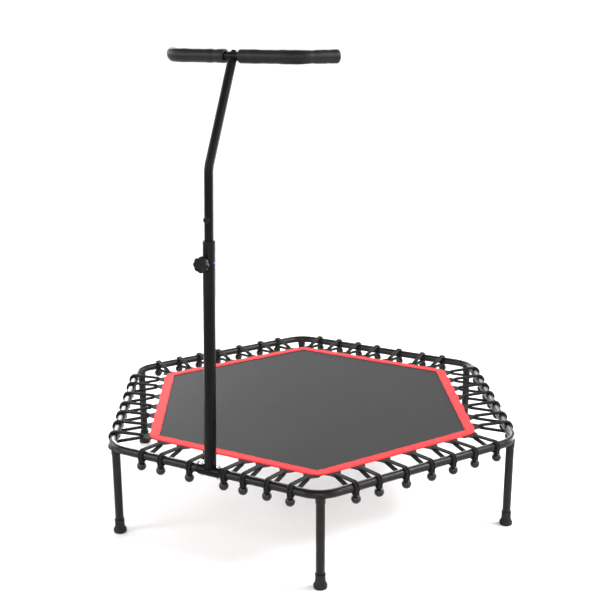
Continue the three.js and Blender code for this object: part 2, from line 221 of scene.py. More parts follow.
# a cord or bead along points, with its own map along and around it
def strand(name, points, radius, closed=False, sides=4):
    deselectAll()
    curve = bpy.data.curves.new(name, "CURVE")
    curve.dimensions = "3D"
    curve.bevel_depth = radius
    curve.bevel_resolution = sides // 2 - 1
    curve.use_fill_caps = not closed
    spline = curve.splines.new("POLY")
    spline.points.add(len(points) - 1)
    for knot, point in zip(spline.points, points):
        knot.co = (*point, 1)
    spline.use_cyclic_u = closed
    piece = bpy.data.objects.new(name, curve)
    bpy.context.scene.collection.objects.link(piece)
    makeActive(piece)
    bpy.ops.object.convert(target="MESH")
    return bpy.context.object


# cuts the cutters out of the piece and removes them
def drilled(piece, cutters):
    for cutter in cutters:
        applyModifier(piece, "BOOLEAN", operation="DIFFERENCE", object=cutter, solver="EXACT")
        bpy.data.objects.remove(cutter)
    return piece


# a drill along an axis through a point
def drill(radius, length, at, towards=(0, -1, 0)):
    deselectAll()
    facing = Vector(towards).to_track_quat("Z", "Y")
    middle = Vector(at) + Vector(towards).normalized() * length / 2
    bpy.ops.mesh.primitive_cylinder_add(vertices=28, radius=radius, depth=length, location=middle,
                                        rotation=facing.to_euler())
    cutter = bpy.context.object
    bpy.ops.object.transform_apply(location=True, rotation=True, scale=True)
    return cutter


# a map in metres seen from above, for cloth whose threads follow the piece
def flatMap(piece):
    layer = piece.data.uv_layers.get("flat") or piece.data.uv_layers.new(name="flat")
    for loop in piece.data.loops:
        point = piece.data.vertices[loop.vertex_index].co
        layer.data[loop.index].uv = (point.x, point.y)
    piece.data.uv_layers.active = layer


def compass(degrees):
    angle = math.radians(degrees)
    return Vector((math.cos(angle), math.sin(angle), 0))


# the point at distance out on the side that faces the given way, s along it
def onSide(facing, s, out, up=0.0):
    return compass(facing) * out + compass(facing + 90) * s + Vector((0, 0, up))


# ---- materials ----

class Finish:
    # a principled material with short ways to add to its node tree
    def __init__(self, name, roughness, metallic=0.0, specular=0.5):
        self.material = bpy.data.materials.new(name)
        self.material.use_nodes = True
        self.nodes = self.material.node_tree.nodes
        self.links = self.material.node_tree.links
        self.shader = self.nodes["Principled BSDF"]
        self.shader.inputs["Roughness"].default_value = roughness
        self.shader.inputs["Metallic"].default_value = metallic
        self.shader.inputs["Specular IOR Level"].default_value = specular
        coordinates = self.nodes.new("ShaderNodeTexCoord")
        self.place = coordinates.outputs["Object"]

    def node(self, kind, inputs=(), **settings):
        made = self.nodes.new("ShaderNode" + kind)
        for key, value in settings.items():
            setattr(made, key, value)
        for socket, value in dict(inputs).items():
            if hasattr(value, "is_output"):
                self.links.new(value, made.inputs[socket])
            else:
                made.inputs[socket].default_value = value
        return made

    def noise(self, scale, detail=3.0, vector=None):
        inputs = {"Vector": vector or self.place, "Scale": scale, "Detail": detail}
        return self.node("TexNoise", inputs).outputs[0]

    def math(self, operation, first, second=0.0):
        return self.node("Math", {0: first, 1: second}, operation=operation).outputs[0]

    def between(self, value, low, high):
        made = self.node("MapRange", {"Value": value, "From Min": 0.3, "From Max": 0.7})
        made.inputs["To Min"].default_value = low
        made.inputs["To Max"].default_value = high
        return made.outputs[0]

    def colours(self, value, low, high, lowAt=0.3, highAt=0.7):
        ramp = self.node("ValToRGB", {"Fac": value})
        ramp.color_ramp.elements[0].position = lowAt
        ramp.color_ramp.elements[1].position = highAt
        ramp.color_ramp.elements[0].color = (*low, 1)
        ramp.color_ramp.elements[1].color = (*high, 1)
        self.links.new(ramp.outputs["Color"], self.shader.inputs["Base Color"])
        return ramp.outputs["Color"]

    def rough(self, value, low, high):
        self.links.new(self.between(value, low, high), self.shader.inputs["Roughness"])

    def bump(self, height, distance, strength=1.0):
        made = self.node("Bump", {"Height": height, "Distance": distance, "Strength": strength})
        self.links.new(made.outputs[0], self.shader.inputs["Normal"])

    # threads that pass over and under each other, pitch in metres, from a map in metres
    def plainWeave(self, vector, pitch):
        parts = self.node("SeparateXYZ", {"Vector": vector})
        wave = math.pi / pitch
        warp = self.math("ABSOLUTE", self.math("SINE", self.math("MULTIPLY", parts.outputs[0], wave)))
        weft = self.math("ABSOLUTE", self.math("SINE", self.math("MULTIPLY", parts.outputs[1], wave)))
        over = self.node("TexChecker", {"Vector": vector, "Scale": 1 / pitch}).outputs["Fac"]
        mix = self.node("Mix", {"Factor": over, "A": warp, "B": weft})
        return mix.outputs[0]


def paintedSteel(name, dark, light, roughness, specular):
    finish = Finish(name, roughness, specular=specular)
    finish.colours(finish.noise(14, 5), dark, light)
    finish.rough(finish.noise(60, 4), roughness - 0.03, roughness + 0.05)
    finish.bump(finish.noise(900, 2), 0.00002, 0.3)
    return finish.material


def rubberFinish():
    finish = Finish("foot_rubber", 0.75, specular=0.2)
    finish.colours(finish.noise(90, 5), (0.008, 0.0077, 0.0074), (0.014, 0.0133, 0.0125))
    finish.rough(finish.noise(40, 3), 0.62, 0.85)
    finish.bump(finish.noise(1500, 2), 0.00008, 0.6)
    return finish.material


def zincFinish():
    finish = Finish("bright_zinc", 0.3, metallic=1.0)
    finish.colours(finish.noise(160, 4), (0.66, 0.68, 0.70), (0.86, 0.87, 0.88))
    finish.rough(finish.noise(420, 3), 0.2, 0.38)
    finish.bump(finish.noise(1400, 2), 0.00003, 0.4)
    return finish.material


def meshClothFinish():
    finish = Finish("jumping_mesh", 0.7, specular=0.06)
    weave = finish.plainWeave(finish.place, 0.0016)
    shade = finish.math("MULTIPLY", finish.noise(6, 4), 0.35)
    finish.colours(finish.math("ADD", finish.math("MULTIPLY", weave, 0.6), shade),
                   (0.0080, 0.0082, 0.0083), (0.0205, 0.0209, 0.0209), 0.1, 0.85)
    finish.shader.inputs["Sheen Weight"].default_value = 0.04
    finish.shader.inputs["Sheen Roughness"].default_value = 0.5
    finish.bump(weave, 0.0003, 0.5)
    return finish.material


def redClothFinish():
    finish = Finish("red_band", 0.72, specular=0.08)
    flat = finish.node("UVMap", uv_map="flat").outputs[0]
    weave = finish.plainWeave(flat, 0.0011)
    shade = finish.math("MULTIPLY", finish.noise(22, 5), 0.5)
    finish.colours(finish.math("ADD", finish.math("MULTIPLY", weave, 0.45), shade),
                   (0.56, 0.026, 0.031), (0.78, 0.043, 0.049), 0.1, 0.8)
    finish.shader.inputs["Sheen Weight"].default_value = 0.03
    finish.shader.inputs["Sheen Roughness"].default_value = 0.5
    wrinkle = finish.math("MULTIPLY", finish.noise(55, 3), 1.2)
    finish.bump(finish.math("ADD", weave, wrinkle), 0.0003, 0.55)
    return finish.material


def threadFinish():
    finish = Finish("red_thread", 0.6, specular=0.3)
    finish.colours(finish.noise(300, 2), (0.48, 0.018, 0.024), (0.68, 0.033, 0.040))
    finish.bump(finish.noise(2500, 2), 0.00008, 0.6)
    return finish.material


def cordFinish():
    finish = Finish("elastic_cord", 0.7, specular=0.15)
    along = finish.node("UVMap", uv_map="UVMap").outputs[0]
    parts = finish.node("SeparateXYZ", {"Vector": along})
    length = finish.math("MULTIPLY", parts.outputs[0], 2 * math.pi * 150)
    around = finish.math("MULTIPLY", parts.outputs[1], 2 * math.pi * 5)
    right = finish.math("SINE", finish.math("ADD", length, around))
    left = finish.math("SINE", finish.math("SUBTRACT", length, around))
    braid = finish.math("MAXIMUM", right, left)
    finish.colours(braid, (0.0035, 0.0033, 0.0032), (0.0110, 0.0104, 0.0100), 0.0, 1.0)
    finish.shader.inputs["Sheen Weight"].default_value = 0.02
    finish.bump(braid, 0.0003, 0.6)
    return finish.material


def webbingFinish():
    finish = Finish("black_webbing", 0.75, specular=0.12)
    flat = finish.node("UVMap", uv_map="flat").outputs[0]
    weave = finish.plainWeave(flat, 0.0013)
    finish.colours(weave, (0.0035, 0.0033, 0.0032), (0.0120, 0.0115, 0.0110), 0.0, 1.0)
    finish.shader.inputs["Sheen Weight"].default_value = 0.02
    finish.bump(weave, 0.0004, 0.7)
    return finish.material


def plasticFinish(name, roughness, grain, specular):
    finish = Finish(name, roughness, specular=specular)
    finish.colours(finish.noise(70, 3), (0.0022, 0.0022, 0.0023), (0.0042, 0.0042, 0.0044))
    finish.rough(finish.noise(200, 3), roughness - 0.06, roughness + 0.08)
    finish.bump(finish.noise(grain, 2), 0.00002, 0.3)
    return finish.material


def foamFinish():
    finish = Finish("grip_foam", 0.6, specular=0.2)
    finish.colours(finish.noise(700, 4), (0.0030, 0.0030, 0.0030), (0.0065, 0.0065, 0.0065))
    finish.rough(finish.noise(60, 3), 0.42, 0.55)
    cells = finish.node("TexVoronoi", {"Vector": finish.place, "Scale": 1400}).outputs["Distance"]
    finish.bump(cells, 0.00005, 0.35)
    return finish.material


def bluePaintFinish():
    finish = Finish("blue_paint", 0.45)
    finish.colours(finish.noise(260, 4), (0.006, 0.10, 0.75), (0.012, 0.19, 0.98))
    finish.bump(finish.noise(900, 2), 0.00008, 0.6)
    return finish.material


def floorFinish():
    finish = Finish("studio_floor", 0.9, specular=0.1)
    finish.colours(finish.noise(3, 2), (0.90, 0.90, 0.90), (0.92, 0.92, 0.92))
    return finish.material


finishes = {
    "rail": paintedSteel("rail_paint", (0.0050, 0.0036, 0.0032), (0.0080, 0.0058, 0.0052), 0.30, 0.20),
    "post": paintedSteel("post_paint", (0.0020, 0.0021, 0.0022), (0.0036, 0.0037, 0.0039), 0.34, 0.09),
    "rubber": rubberFinish(),
    "zinc": zincFinish(),
    "mesh": meshClothFinish(),
    "red": redClothFinish(),
    "thread": threadFinish(),
    "cord": cordFinish(),
    "webbing": webbingFinish(),
    "plastic": plasticFinish("black_plastic", 0.34, 1100, 0.14),
    "ball": plasticFinish("ball_plastic", 0.14, 500, 0.30),
    "foam": foamFinish(),
    "blue": bluePaintFinish(),
    "floor": floorFinish(),
}


# the last steps for every piece: its finish, its body and the CAD nodes it stands for
def settle(piece, finish, body=None, nodes=()):
    piece.data.materials.clear()
    piece.data.materials.append(finishes[finish])
    if body:
        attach(piece, body)
    if nodes:
        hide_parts(*nodes)
    return piece


print("stage 1: finishes ready")


# ---- frame ----

collar = {"radius": 0.0123, "drop": 0.022, "weld": 0.0016, "pin": 0.0088, "pinLength": 0.030}
sideStraight = ring["cornerReach"] - 2 * ring["bendRadius"] * math.tan(math.pi / 6)
cornerApex = ring["cornerReach"] - ring["bendRadius"] * (1 / math.cos(math.pi / 6) - 1)


# a bead of weld where an upright of the given radius meets a round of barRadius that runs along alongAngle
def weldBead(name, uprightRadius, barRadius, bead, under, alongAngle=0.0, share=1.0):
    points = []
    steps = 56
    for i in range(steps):
        angle = 2 * math.pi * i / steps
        x, y = uprightRadius * math.cos(angle), uprightRadius * math.sin(angle)
        across = share * (x * math.sin(-alongAngle) + y * math.cos(alongAngle))
        rise = math.sqrt(max(barRadius ** 2 - across ** 2, 0.0))
        ripple = 0.0003 * math.sin(9 * angle) * math.sin(14 * angle + 1)
        points.append(((x, y, (-rise if under else rise) + ripple)))
    return strand(name, points, bead, closed=True, sides=8)


def makeRailHalf():
    tangent = ring["bendRadius"] * math.tan(math.pi / 6)
    halfSide = ring["cornerReach"] / 2
    start = onSide(210, ring["splitAlong"] + ring["splitGap"], apothem)
    route = [halfSide - ring["splitAlong"] - ring["splitGap"] - tangent]
    for corner in (240, 300, 0):
        inward = compass(corner + 150)
        route.append((inward, ring["bendRadius"], math.pi / 3))
        route.append(sideStraight if corner else halfSide + ring["splitAlong"] - tangent)
    rail = tube("rail", start, compass(300), route, ring["railRadius"], ring["railWall"], sides=40)
    roundEdges(rail, 0.0004, 1, 60)
    parts = [rail]
    for corner in (240, 300, 0):
        at = compass(corner) * cornerApex
        drop, pin = collar["drop"], collar["pin"]
        foot = turned("collar", [(pin, -drop - collar["pinLength"]), (pin, -drop), (collar["radius"], -drop),
                                 (collar["radius"], -0.004)])
        roundEdges(foot, 0.0005, 2)
        bead = weldBead("weld", collar["radius"] - 0.0006, ring["railRadius"], collar["weld"], True,
                        math.radians(corner + 90))
        for part in (foot, bead):
            place(part, Matrix.Translation(at))
            parts.append(part)
    end = onSide(30, ring["splitAlong"], apothem)
    parts.append(tube("spigot", end - compass(120) * 0.012, compass(120), [0.057], 0.0088, 0.0015, 24))
    half = joined("rail_handle_side", parts)
    place(half, Matrix.Translation((0, 0, ring["railHeight"])))
    smooth(half, 40)
    return half


def makeFrame():
    near = makeRailHalf()
    far = copyOf(near, "rail_far_side", Matrix.Rotation(math.pi, 4, "Z"))
    settle(near, "rail", "frame", ["frame_half_handle_side"])
    settle(far, "rail", "frame", ["frame_half_far_side"])
    for name, facing in (("left", 210), ("right", 30)):
        screw = turned("frame_screw_" + name, [(0.0018, -0.0146), (0.0018, -0.0156), (0.0026, -0.0154),
                                               (0.0040, -0.0144), (0.0049, -0.0128), (0.0049, -0.0115),
                                               (0.0026, -0.0115), (0.0026, -0.003)], 24)
        at = onSide(facing, ring["splitAlong"] + ring["screwAlong"], apothem, ring["railHeight"])
        place(screw, Matrix.Translation(at))
        smooth(screw)
        settle(screw, "zinc", "frame", ["joint_screw_" + name])


leg = {"radius": 0.011, "wall": 0.0015, "low": 0.0063}
footProfile = [
    (0.0135, 0.0), (0.0150, 0.0), (0.0168, 0.0012), (0.0172, 0.0030), (0.0172, 0.0085), (0.0167, 0.0100),
    (0.0146, 0.0135), (0.0133, 0.0170), (0.0128, 0.0200), (0.0126, 0.0335), (0.0126, 0.0345),
    (0.0131, 0.0355), (0.0131, 0.0374), (0.0127, 0.0380), (0.0114, 0.0380), (0.0113, 0.0060),
]


def makeLegs():
    names = ["handle_left", "handle_right", "right", "far_right", "far_left", "left"]
    top = ring["railHeight"] - collar["drop"] - 0.0003
    tubeLeg = tube("leg", (0, 0, leg["low"]), (0, 0, 1), [top - leg["low"]], leg["radius"], leg["wall"])
    roundEdges(tubeLeg, 0.0006, 2)
    smooth(tubeLeg)
    foot = turned("foot", footProfile, 44)
    drilled(foot, [drill(0.0105, 0.0016, (0, 0, -0.0001), (0, 0, 1))])  # the hollow of the sole
    smooth(foot, 35)
    for i, name in enumerate(names):
        at = Matrix.Translation(compass(240 + 60 * i) * cornerApex)
        standing = copyOf(tubeLeg, "steel_leg_" + name, at)
        settle(standing, "rail", "frame", ["leg_" + name])
        shoe = copyOf(foot, "rubber_foot_" + name, at)
        settle(shoe, "rubber", "frame", ["foot_" + name])
    bpy.data.objects.remove(tubeLeg)
    bpy.data.objects.remove(foot)


makeFrame()
makeLegs()
print("stage 2: frame, legs and feet")


# ---- mat ----

mat = {
    "reach": 0.506,  # centre to a corner of the cloth
    "thick": 0.0014,
    "bandReach": 0.510,
    "band": 0.029,
    "bandCloth": 0.0011,
    "rise": 0.0012,  # mid-plane above the rail's centreline
    "stitchPitch": 0.0062,
}
matHeight = ring["railHeight"] + mat["rise"]
bandEdge = mat["bandReach"] * math.cos(math.pi / 6)
plainStations = [-0.212, -0.143, -0.060, 0.020, 0.090, 0.162, 0.236]
clampStations = [-0.205, -0.145, -0.058, 0.044, 0.099, 0.166, 0.230]


def stationsOf(side):
    return clampStations if side == "handle" else plainStations


# how far the tabs pull the border out at s along a side
def tabPull(side, s):
    pull = sum(math.exp(-((s - station) / 0.020) ** 2) for station in stationsOf(side))
    swing = {"handle": 0.0010, "front_right": 0.0010, "right": 0.0030, "left": 0.0026}.get(side, 0.0018)
    return swing * (pull - 0.5)


def makeMat():
    deselectAll()
    bpy.ops.mesh.primitive_circle_add(vertices=6, radius=mat["reach"], fill_type="NGON",
                                      rotation=(0, 0, math.radians(30)))
    cloth = bpy.context.object
    cloth.name = "jumping_mat"
    bpy.ops.object.transform_apply(location=True, rotation=True, scale=True)
    editAll(cloth, "FACE")
    bpy.ops.mesh.poke()
    leaveEdit()
    editAll(cloth)
    bpy.ops.mesh.subdivide(number_cuts=23)
    leaveEdit()
    for point in cloth.data.vertices:
        out = max(abs(compass(facing).dot(point.co)) for facing in (30, 90, 150)) / bandEdge
        hang = 1 - min(out, 1.0) ** 2
        ripple = math.sin(9 * point.co.x + 2) * math.sin(7 * point.co.y) * (1 - out)
        point.co.z = matHeight - 0.0022 * hang + 0.0008 * ripple
    applyModifier(cloth, "SOLIDIFY", thickness=mat["thick"], offset=0)
    smooth(cloth, 50)
    settle(cloth, "mesh", "mat", ["mat"])
    return cloth


# one side's strip of the folded band, for the side that faces +X: an outer fold between two mitred ends
def makeBandStrip(side):
    facing = sideFacings[side]
    half = mat["bandReach"] / 2
    inner = bandEdge - mat["band"]
    steps = 96
    deselectAll()
    bpy.ops.mesh.primitive_grid_add(x_subdivisions=14, y_subdivisions=steps, size=1)
    strip = bpy.context.object
    strip.name = "band_" + side
    fold = mat["bandCloth"] + mat["thick"] / 2 + 0.0004
    under = side in ("handle", "right", "far_left")  # these tuck under their neighbours at the mitres
    for point in strip.data.vertices:
        across, along = point.co.x + 0.5, point.co.y * 2
        # across 0 to 1 goes from the top's inner edge round the outer fold to the underside's inner edge
        turn = abs(across - 0.5) * 2
        out = bandEdge - mat["band"] * turn ** 1.35
        out += 0.0009 * turn * math.sin(along * 17 + facing) * math.sin(along * 41 + 2 * facing)
        up = fold * math.sin(math.pi / 2 * min(turn * 6, 1.0)) * (1 if across < 0.5 else -1)
        end = half + (out - bandEdge) * math.tan(math.pi / 6)
        s = along * (end + (0.0 if under else 0.0035))
        lap = 0.0 if under else 0.0009 * math.exp(-((abs(s) - end) / 0.010) ** 2)
        wave = tabPull(side, s) * (out - inner) / mat["band"]
        near = max(0.0, 1 - abs(abs(s) - end) / 0.045)
        pucker = 0.0007 * near * math.sin(s * 420 + out * 300)
        ripple = 0.00035 * math.sin(s * 95 + 1.3) * math.sin(out * 400 + s * 31)
        lift = (lap + pucker + ripple) * (1 if up > 0 else -1) * turn ** 0.5
        point.co = (out + wave, s, up + lift)
    roundCorner(strip, half)
    flatMap(strip)
    return strip


# draws the strip's outer ends in, so that the band turns each corner on a small round
def roundCorner(strip, half):
    reach = 0.021
    for point in strip.data.vertices:
        for sign in (-1, 1):
            corner = Vector((bandEdge, sign * half, 0))
            inwards = -corner.normalized()
            depth = (Vector((point.co.x, point.co.y, 0)) - corner).dot(inwards)
            if depth < reach:
                pull = reach * 0.33 * (1 - max(depth, 0) / reach) ** 2
                point.co.x += inwards.x * pull
                point.co.y += inwards.y * pull


def makeBand():
    strips = []
    for side, facing in sideFacings.items():
        strip = makeBandStrip(side)
        place(strip, Matrix.Translation((0, 0, matHeight)) @ Matrix.Rotation(math.radians(facing), 4, "Z"))
        outward(strip)
        strips.append(strip)
    band = joined("red_border", strips)
    applyModifier(band, "SOLIDIFY", thickness=mat["bandCloth"], offset=-1)
    applyModifier(band, "SUBSURF", levels=1, render_levels=1)
    smooth(band, 60)
    settle(band, "red", "mat", ["mat_border"])
    return band


# two rows of stitches that hold the band and the webbing to the cloth
def makeStitches():
    stitches = []
    rise = mat["bandCloth"] + mat["thick"] / 2 + 0.0006
    length = mat["stitchPitch"] * 0.68
    deselectAll()
    bpy.ops.mesh.primitive_cylinder_add(vertices=6, radius=0.00042, depth=length,
                                        rotation=(math.pi / 2, 0, 0))
    stitch = bpy.context.object
    bpy.ops.object.transform_apply(location=True, rotation=True, scale=True)
    editFaces(stitch, lambda centre, normal: abs(normal.y) > 0.9)
    bpy.ops.mesh.inset(thickness=0.00018)
    bpy.ops.transform.translate(value=(0, 0, -0.00035))
    leaveEdit()
    for side, facing in sideFacings.items():
        turn = Matrix.Rotation(math.radians(facing), 4, "Z")
        for inset in (0.0045, mat["band"] - 0.0040):
            out = bandEdge - inset
            half = mat["bandReach"] / 2 - inset * math.tan(math.pi / 6) - 0.004
            count = int(2 * half / mat["stitchPitch"])
            for i in range(count):
                s = (i + 0.5 - count / 2) * mat["stitchPitch"]
                pulled = out + tabPull(side, s) * (mat["band"] - inset) / mat["band"]
                at = Vector((pulled, s, matHeight + rise))
                stitches.append(copyOf(stitch, "stitch", turn @ Matrix.Translation(at)))
    bpy.data.objects.remove(stitch)
    rows = joined("border_stitches", stitches)
    settle(rows, "thread", "mat")
    return rows


jumpingMat = makeMat()
redBorder = makeBand()
borderStitches = makeStitches()
print("stage 3: mat, border and stitches")


# ---- bungees ----

bungee = {
    "cord": 0.0031,  # strand radius
    "gap": 0.0067,  # between the middles of two strands side by side
    "eye": 0.0200,  # the cords' turn, out from the border's edge
    "ball": 0.0123,
    "ballOut": 0.008,
    "ballDrop": 0.027,
    "neck": 0.0062,
    "sway": 0.05,  # how far one may turn aside, in radians
    "stillOut": 0.518,  # a reach from the centre, just inside the rail
    "matOut": 0.466,  # a reach from the centre, just past the cords' turn at the tab eye
}
tab = {"root": 0.047, "tip": 0.0180, "reach": 0.0245, "thick": 0.0015, "tuck": 0.010, "slot": 0.0145}


# one bungee on the side that faces +X: two strands over the rail, through the tab and back under the rail,
# where they hook round the ball's neck
def bungeeLine():
    wrap = ring["railRadius"] + bungee["cord"] + 0.0002
    ballTop = Vector((bungee["ballOut"] - 0.001, -bungee["ballDrop"] + 0.006))
    eyeOut = bandEdge + bungee["eye"] - apothem
    bend = 0.0040
    half = bungee["gap"] / 2

    def touch(point, sense):
        return math.atan2(point.y, point.x) + sense * math.acos(wrap / point.length)

    def arc(start, end, steps, reach=wrap, out=0.0, up=0.0):
        angles = [start + (end - start) * i / steps for i in range(steps + 1)]
        return [Vector((out + reach * math.cos(t), 0, up + reach * math.sin(t))) for t in angles]

    over = arc(touch(ballTop, 1), touch(Vector((eyeOut, mat["rise"] + bend)), -1), 14)
    turn = arc(math.pi / 2, math.pi * 3 / 2, 6, bend, eyeOut, mat["rise"])
    lowTouch = touch(Vector((eyeOut, mat["rise"] - bend)), 1)
    under = arc(lowTouch, math.radians(-62) - 2 * math.pi * (lowTouch < -math.pi), 6)
    first = [Vector((ballTop.x, half, ballTop.y))]
    first += [Vector((p.x, half, p.z)) for p in over + turn]
    for i, p in enumerate(under):
        first.append(Vector((p.x, half + (bungee["neck"] - half) * (i / 6) ** 2, p.z)))
    neckHeight = -bungee["ballDrop"] + bungee["ball"] + 0.0008
    hook = []
    for i in range(9):
        angle = math.pi / 2 - math.pi * i / 8
        hook.append(Vector((ballTop.x + bungee["neck"] * math.cos(angle), bungee["neck"] * math.sin(angle),
                            neckHeight)))
    back = [Vector((p.x, -p.y, p.z)) for p in reversed(first)]
    return [Vector((p.x + apothem, p.y, p.z)) for p in first + hook + back]


# a strap sewn under the border and folded to a point round the cords, for the side that faces +X
def makeTab():
    deselectAll()
    bpy.ops.mesh.primitive_plane_add(size=1)
    strap = bpy.context.object
    strap.name = "tab"
    editAll(strap)
    bpy.ops.mesh.subdivide(number_cuts=13)
    leaveEdit()
    for point in strap.data.vertices:
        along, across = point.co.x + 0.5, point.co.y * 2
        out = along * (tab["reach"] + tab["tuck"]) - tab["tuck"]
        share = max(0.0, min(out / (tab["reach"] * 0.86), 1.0))
        width = tab["root"] + (tab["tip"] - tab["root"]) * share ** 0.9
        fold = 0.0010 * max(across, 0.0) - 0.0006 * max(-across, 0.0)
        pinch = 0.0009 * math.cos(across * 7.5) * share * (1 - share) * 4
        point.co = (bandEdge + out, across * width / 2 + 0.0008 * math.sin(share * 5),
                    mat["rise"] - 0.0006 + (fold + pinch) * min(1.0, share + 0.2))
    editFaces(strap, lambda centre, normal: abs(centre.y) < 0.0042
              and tab["slot"] < centre.x - bandEdge < bungee["eye"] - 0.0004)
    bpy.ops.mesh.delete(type="FACE")
    leaveEdit()
    flatMap(strap)
    applyModifier(strap, "SOLIDIFY", thickness=tab["thick"], offset=0)
    applyModifier(strap, "SUBSURF", levels=1, render_levels=1)
    return strap


def makeBall():
    deselectAll()
    bpy.ops.mesh.primitive_uv_sphere_add(segments=24, ring_count=16, radius=bungee["ball"])
    ball = bpy.context.object
    ball.name = "ball"
    # the cords' socket in its top, and the parting line round its middle
    editFaces(ball, lambda centre, normal: centre.z > bungee["ball"] * 0.93)
    bpy.ops.mesh.extrude_region_move(TRANSFORM_OT_translate={"value": (0, 0, 0.0012)})
    bpy.ops.mesh.inset(thickness=0.0012)
    bpy.ops.transform.translate(value=(0, 0, -0.0035))
    leaveEdit()
    editPoints(ball, lambda at: abs(at.z) < 1e-5)
    bpy.ops.transform.resize(value=(1.015, 1.015, 1), center_override=(0, 0, 0))
    leaveEdit()
    applyModifier(ball, "SUBSURF", levels=1, render_levels=1)
    place(ball, Matrix.Rotation(math.radians(-8), 4, "Y"))
    place(ball, Matrix.Translation((apothem + bungee["ballOut"], 0, -bungee["ballDrop"])))
    smooth(ball, 60)
    return ball


def makeBungees():
    oneCord = strand("cord", bungeeLine(), bungee["cord"], sides=8)
    oneTab = makeTab()
    oneBall = makeBall()
    draw = random.Random(7)
    rise = Matrix.Translation((0, 0, ring["railHeight"]))
    for side, facing in sideFacings.items():
        turn = rise @ Matrix.Rotation(math.radians(facing), 4, "Z")
        cords, tabs, balls = [], [], []
        for station in stationsOf(side):
            slide = turn @ Matrix.Translation((0, station, 0))
            sway = Matrix.Rotation(draw.uniform(-bungee["sway"], bungee["sway"]), 4, "Z")
            tilt = Matrix.Translation((apothem, 0, 0)) @ sway @ Matrix.Translation((-apothem, 0, 0))
            cords.append(copyOf(oneCord, "cord", slide @ tilt))
            tabs.append(copyOf(oneTab, "tab", slide @ tilt))
            balls.append(copyOf(oneBall, "ball", slide @ tilt))
        cordRow = joined("cords_" + side, cords)
        smooth(cordRow, 60)
        settle(cordRow, "cord", nodes=["bungee_row_" + side])
        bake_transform(cordRow)
        tabRow = joined("tabs_" + side, tabs)
        smooth(tabRow, 50)
        settle(tabRow, "webbing")
        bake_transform(tabRow)
        ballRow = joined("balls_" + side, balls)
        smooth(ballRow, 60)
        settle(ballRow, "ball", "frame")
    for spare in (oneCord, oneTab, oneBall):
        bpy.data.objects.remove(spare)


makeBungees()
print("stage 4: tabs, cords and balls")


# ---- handle: lower post and its clamp ----

lowerPost = {"wall": 0.0015, "top": 0.577,
             "saddleOuter": 0.0138, "saddleInner": 0.0115, "saddleLength": 0.072,
             "boltAt": 0.025, "boltHole": 0.0035, "weld": 0.0019, "bossRadius": 0.008, "bossLength": 0.006,
             "bossBore": 0.0047, "foot": 0.0125}
boltPlaces = (-lowerPost["boltAt"], lowerPost["boltAt"])


# half a ring along X: upper is the saddle and lower the shell
def halfRing(name, upper):
    deselectAll()
    length = lowerPost["saddleLength"]
    bpy.ops.mesh.primitive_circle_add(vertices=64, radius=lowerPost["saddleOuter"],
                                      location=(-length / 2, 0, 0), rotation=(0, math.pi / 2, 0))
    shell = bpy.context.object
    shell.name = name
    bpy.ops.object.transform_apply(location=True, rotation=True, scale=True)
    editAll(shell)
    sign = 1 if upper else -1
    bpy.ops.mesh.bisect(plane_co=(0, 0, sign * 0.0006), plane_no=(0, 0, 1),
                        clear_inner=upper, clear_outer=not upper)
    bpy.ops.mesh.select_all(action="SELECT")
    for _ in range(12):
        bpy.ops.mesh.extrude_region_move(TRANSFORM_OT_translate={"value": (length / 12, 0, 0)})
    leaveEdit()
    outward(shell)
    wall = lowerPost["saddleOuter"] - lowerPost["saddleInner"]
    outwards = sum(face.normal.dot(Vector((0, face.center.y, face.center.z))) for face in shell.data.polygons)
    applyModifier(shell, "SOLIDIFY", thickness=wall, offset=-1 if outwards > 0 else 1)
    return shell


def makeLowerPost():
    radius, foot = post["lowerRadius"], lowerPost["foot"]
    saddle = halfRing("saddle", True)
    pipe = tube("pipe", (0, 0, foot), (0, 0, 1), [lowerPost["top"] - foot], radius, lowerPost["wall"], 56)
    # its foot follows the round of the saddle
    for point in pipe.data.vertices:
        if point.co.z < 0.013:
            point.co.z = math.sqrt(max(0.0134 ** 2 - (0.86 * point.co.y) ** 2, 0))
    boss = turned("boss", [(lowerPost["bossRadius"], radius - 0.002),
                           (lowerPost["bossRadius"], radius + lowerPost["bossLength"])], 36)
    place(boss, outOfPost(post["knobAt"]))
    drilled(boss, [drill(lowerPost["bossBore"], 0.03, (0, -0.001, post["knobAt"]))])
    drilled(pipe, [drill(lowerPost["bossBore"], 0.03, (0, 0, post["knobAt"]))])
    drilled(saddle, [drill(lowerPost["boltHole"], 0.04, (x, 0, 0), (0, 0, 1)) for x in boltPlaces])
    for part in (saddle, pipe, boss):
        roundEdges(part, 0.0005, 2, 50)
    bead = weldBead("weld", radius + 0.0004, lowerPost["saddleOuter"], lowerPost["weld"], False, share=0.86)
    bossBead = weldBead("weld", lowerPost["bossRadius"] + 0.0002, radius, 0.0011, False, math.pi / 2)
    place(bossBead, outOfPost(post["knobAt"]))
    whole = joined("lower_handle_post", [pipe, saddle, boss, bead, bossBead])
    place(whole, postPlace)
    smooth(whole, 38)
    settle(whole, "post", "frame", ["lower_post"])

    shell = halfRing("clamp", False)
    half = lowerPost["saddleLength"] / 2
    for sign in (-1, 1):
        editAll(shell)
        bpy.ops.mesh.bisect(plane_co=(sign * (half - 0.0035), 0, -0.0035), plane_no=(sign, 0, -0.62),
                            clear_outer=True, use_fill=True)
        leaveEdit()
    drilled(shell, [drill(lowerPost["boltHole"], 0.04, (x, 0, -0.04), (0, 0, 1)) for x in boltPlaces])
    roundEdges(shell, 0.0004, 2, 50)
    place(shell, postPlace)
    shell.name = "rail_clamp"
    smooth(shell, 38)
    settle(shell, "post", "frame", ["clamp_shell"])


